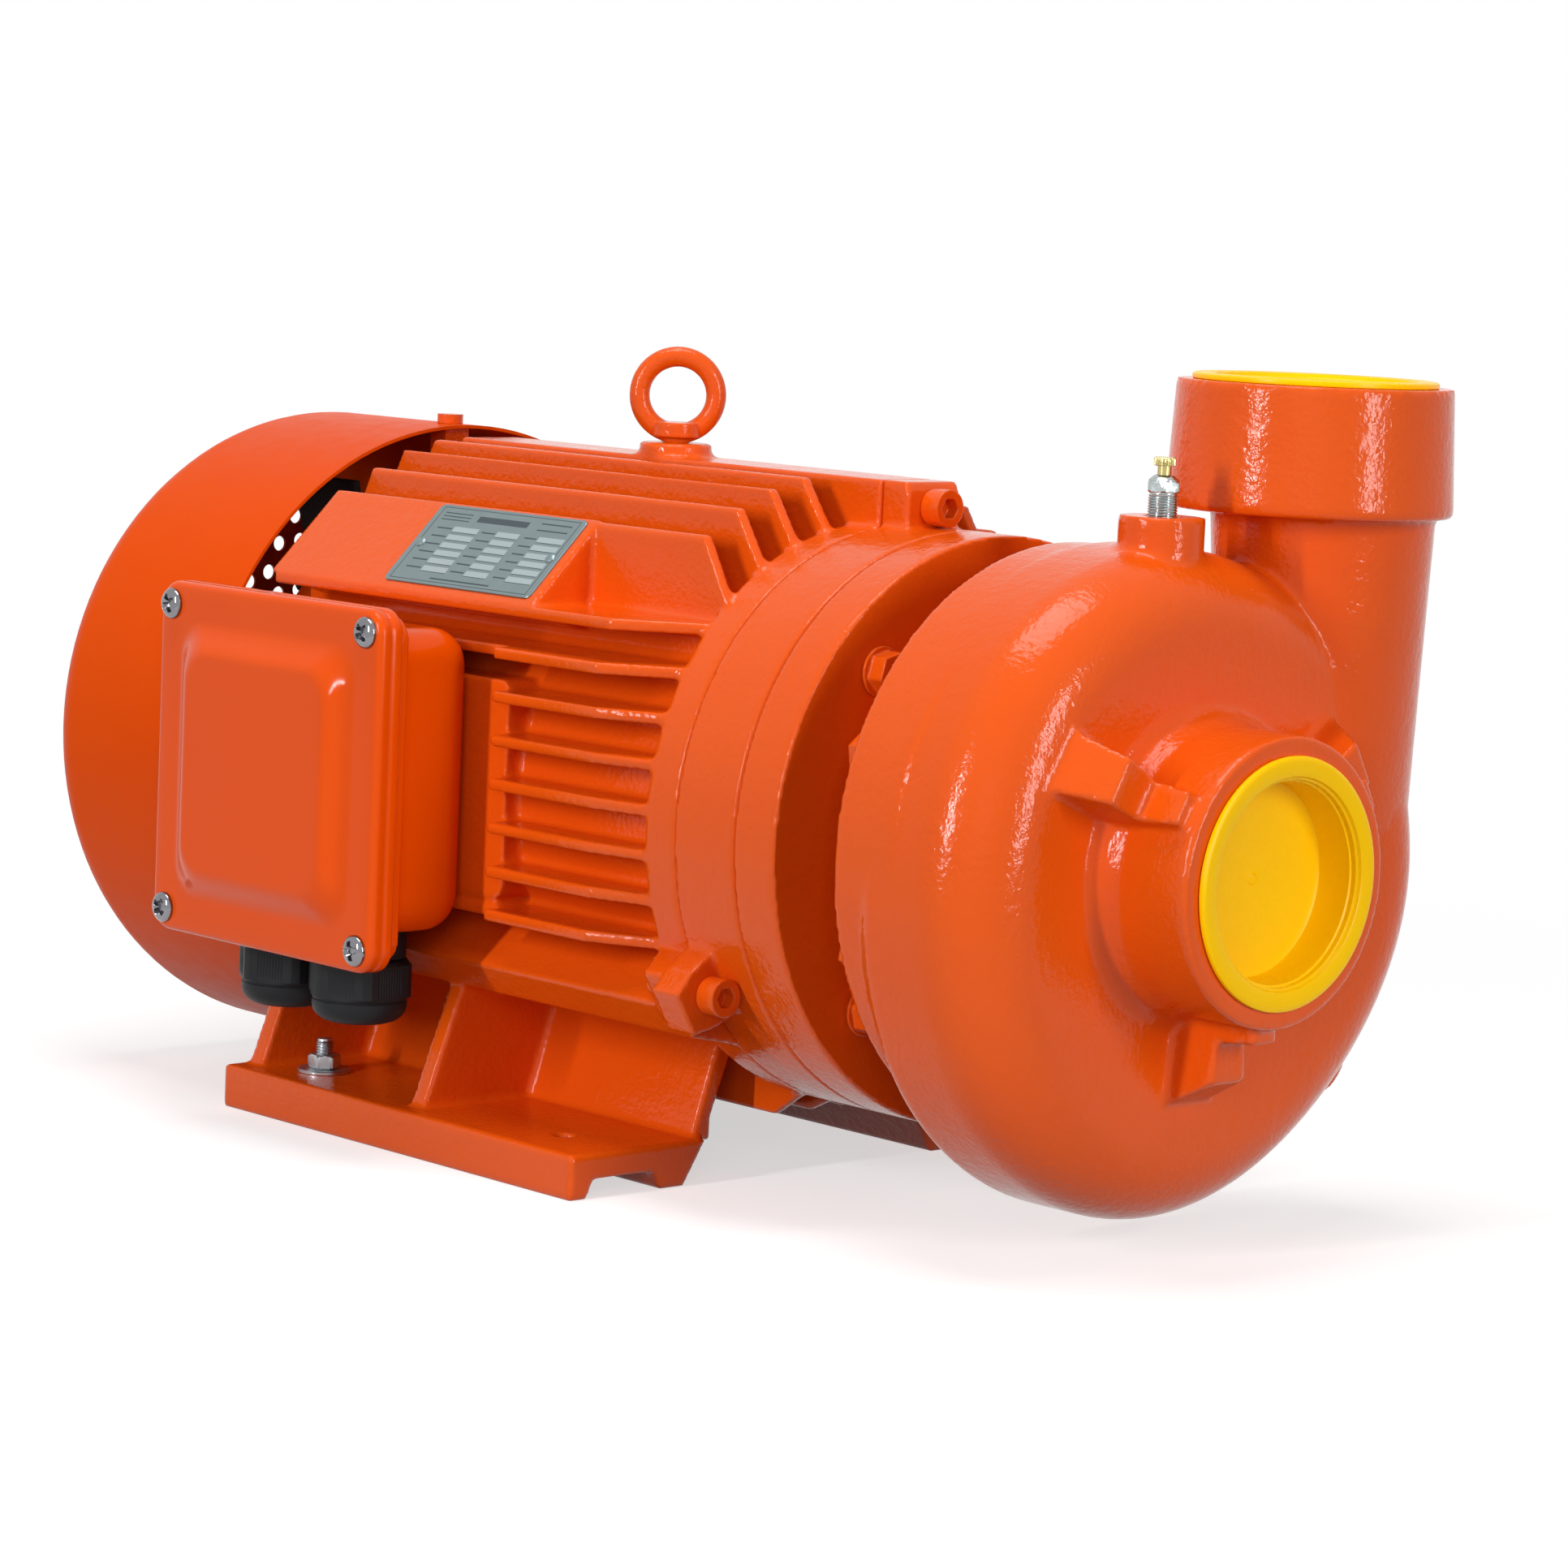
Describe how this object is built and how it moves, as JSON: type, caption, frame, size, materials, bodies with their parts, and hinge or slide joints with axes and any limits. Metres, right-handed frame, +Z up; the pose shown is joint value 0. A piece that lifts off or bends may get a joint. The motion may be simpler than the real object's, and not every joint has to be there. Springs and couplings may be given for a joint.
{
  "type": "centrifugal water pump with motor",
  "caption": "Close-coupled centrifugal pump: finned electric motor on feet with a terminal box, a volute casing on its flange, axial suction port and upward discharge port with transit plugs.",
  "frame": {"origin": "centre of the four foot bolt holes, on the plane that the feet stand on", "axes": "+X along the shaft towards the suction port, +Z up, the terminal box at -Y and the discharge port towards +Y"},
  "size_m": [0.6428, 0.3381, 0.3553],
  "materials": {
    "orange_cast": "orange enamel over a cast surface",
    "orange_sheet": "smooth orange enamel on drawn sheet",
    "orange_box": "glossy orange enamel",
    "yellow_plastic": "smooth moulded plastic",
    "orange_fastener": "steel fasteners painted over with orange enamel",
    "nickel_brass": "nickel plated, satin",
    "chrome_steel": "bright plated steel",
    "black_plastic": "moulded plastic, satin",
    "zinc_steel": "zinc plated steel",
    "bright_steel": "machined steel",
    "brass": "turned brass",
    "bronze": "cast bronze",
    "plate": "satin aluminium plate",
    "copper": "enamelled copper wire, bound",
    "core_steel": "stacked steel laminations",
    "rubber": "moulded rubber",
    "ceramic": "lapped ceramic",
    "board": "moulded insulating board"
  },
  "bodies": {
    "pump": {"motor_frame": "orange_cast", "drive_end_shield": "orange_cast", "pump_bracket": "orange_cast", "volute_casing": "orange_cast", "suction_nozzle": "orange_cast", "discharge_neck": "orange_cast", "rear_end_shield": "orange_cast", "fan_cowl": "orange_sheet", "terminal_box_base": "orange_box", "terminal_box_cover": "orange_box", "gland_bodies": "black_plastic", "gland_nuts": "black_plastic", "gland_lock_nuts": "black_plastic", "terminal_board": "board", "cover_screws": "chrome_steel", "cowl_screws": "orange_fastener", "shield_screws": "orange_fastener", "rear_shield_screws": "zinc_steel", "bracket_bolts": "orange_fastener", "casing_bolts": "orange_fastener", "foot_bolt": "zinc_steel", "foot_nut": "zinc_steel", "foot_washer": "zinc_steel", "box_screws": "zinc_steel", "eye_bolt": "orange_fastener", "drain_plug": "orange_cast", "nameplate": "plate", "nameplate_rivets": "plate", "terminal_studs": "brass", "bleed_body": "nickel_brass", "stator_core": "core_steel", "stator_winding": "copper", "drive_bearing_outer_ring": "bright_steel", "drive_bearing_balls": "bright_steel", "rear_bearing_outer_ring": "bright_steel", "rear_bearing_balls": "bright_steel", "preload_spring": "bright_steel", "bearing_circlip": "bright_steel", "wear_ring": "bronze", "seal_seat": "ceramic", "lip_seal": "rubber", "cover_gasket": "rubber", "casing_gasket": "rubber"},
    "rotor": {"motor_shaft": "bright_steel", "rotor_core": "core_steel", "drive_bearing_inner_ring": "bright_steel", "rear_bearing_inner_ring": "bright_steel", "cooling_fan": "black_plastic", "fan_circlip": "bright_steel", "slinger": "rubber", "seal_head": "bright_steel", "seal_spring": "bright_steel", "impeller": "bronze", "impeller_key": "bright_steel", "impeller_washer": "bright_steel", "impeller_nut": "bright_steel"},
    "needle": {"bleed_needle": "brass"},
    "knob": {"bleed_knob": "brass"},
    "suction_cap": {"suction_plug": "yellow_plastic"},
    "discharge_cap": {"discharge_plug": "yellow_plastic"}
  },
  "joints": [
    {"name": "shaft_spin", "type": "hinge", "parent": "pump", "child": "rotor", "pos_m": [0, 0, 0.16], "axis": [1, 0, 0], "continuous": true},
    {"name": "bleed_lift", "type": "slide", "parent": "pump", "child": "needle", "axis": [0, 0, 1], "range_m": [0, 0.002]},
    {"name": "bleed_turn", "type": "hinge", "parent": "needle", "child": "knob", "pos_m": [0.305, 0.002, 0.3187], "axis": [0, 0, 1], "range_deg": [0, 720]},
    {"name": "suction_plug_off", "type": "slide", "parent": "pump", "child": "suction_cap", "axis": [1, 0, 0], "range_m": [0, 0.03]},
    {"name": "discharge_plug_off", "type": "slide", "parent": "pump", "child": "discharge_cap", "axis": [0, 0, 1], "range_m": [0, 0.03]}
  ],
  "couplings": [
    {"joint": "bleed_turn", "follows": "bleed_lift", "rad_per_m": 6283}
  ]
}
